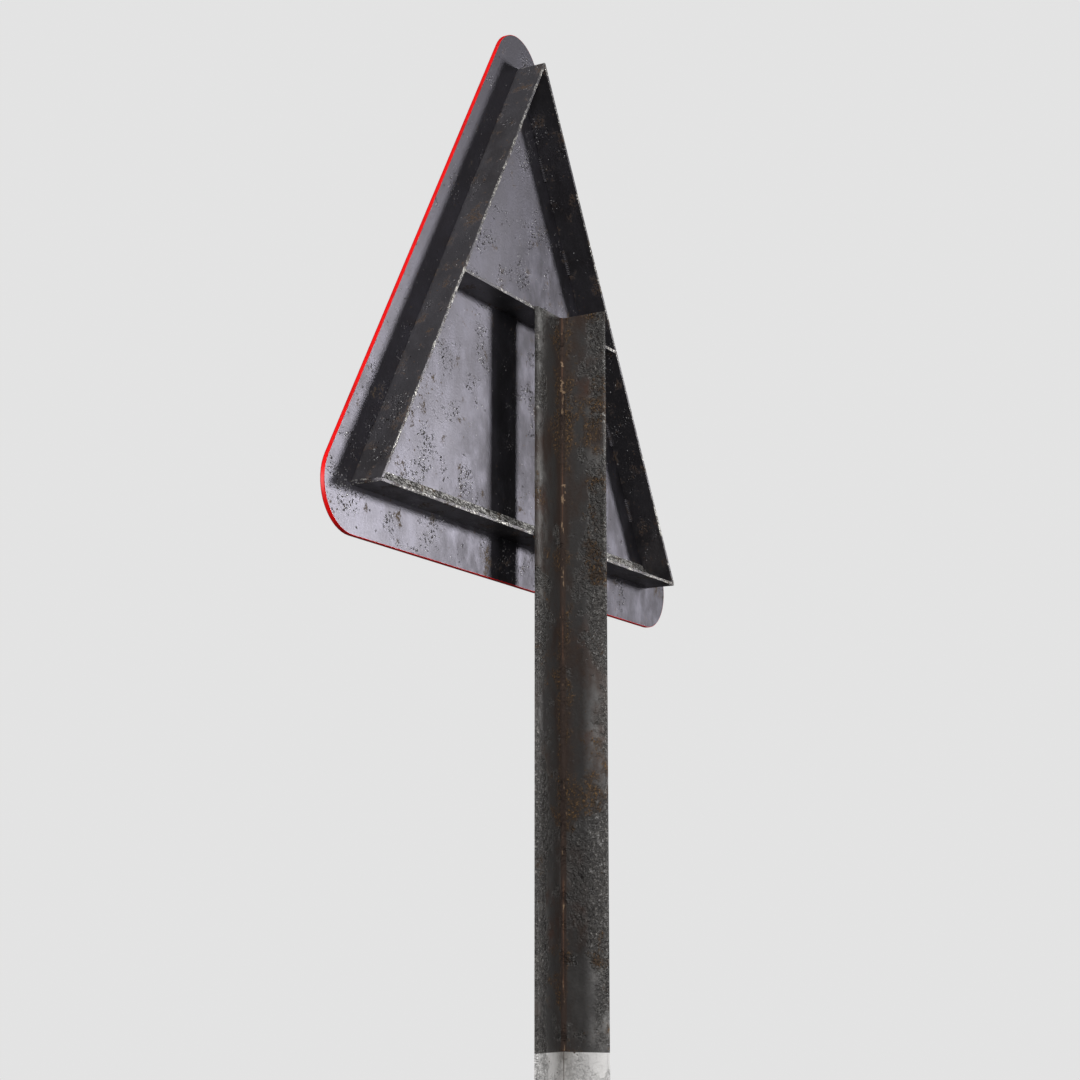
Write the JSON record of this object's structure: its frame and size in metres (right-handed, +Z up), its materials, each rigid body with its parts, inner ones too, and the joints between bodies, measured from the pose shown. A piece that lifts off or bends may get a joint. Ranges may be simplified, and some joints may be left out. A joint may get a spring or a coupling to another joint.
{
  "type": "signpost with sign",
  "caption": "Welded angle iron signpost carrying a triangular warning sign on a flat bar frame, with a bolted base plate.",
  "frame": {"origin": "middle of the base plate's underside", "axes": "+Z up along the post, the sign's face looks to -Y and its welded back to +Y, +X along the sign's lower edge"},
  "size_m": [0.8194, 0.25, 2.7243],
  "materials": {
    "plate_paint": "light grey paint, red painted edge, pitted",
    "border_film": "red retroreflective film",
    "field_film": "pale retroreflective film",
    "symbol_film": "black film",
    "frame_paint": "dark grey paint, worn to bright steel on its edges",
    "post_paint": "charcoal paint above, white paint below, rusting",
    "foot_paint": "white paint, soiled and rusting",
    "weld_metal": "painted over weld beads, rusting"
  },
  "bodies": {
    "root": {"sign_plate": "plate_paint", "sign_border": "border_film", "sign_field": "field_film", "sign_symbol": "symbol_film", "frame_bar_bottom": "frame_paint", "frame_bar_left": "frame_paint", "frame_bar_right": "frame_paint", "cross_bar": "frame_paint", "corner_strip": "frame_paint", "post": "post_paint", "base_plate": "foot_paint", "base_gusset_front": "foot_paint", "base_gusset_side": "foot_paint", "weld_apex": "weld_metal", "weld_corner_left": "weld_metal", "weld_corner_right": "weld_metal", "weld_cross_left": "weld_metal", "weld_cross_right": "weld_metal", "weld_plate_left": "weld_metal", "weld_plate_right": "weld_metal", "weld_plate_cross": "weld_metal", "weld_strip": "weld_metal", "weld_post_cross": "weld_metal", "weld_post_bottom": "weld_metal", "weld_foot": "weld_metal", "weld_gussets": "weld_metal"}
  },
  "joints": []
}
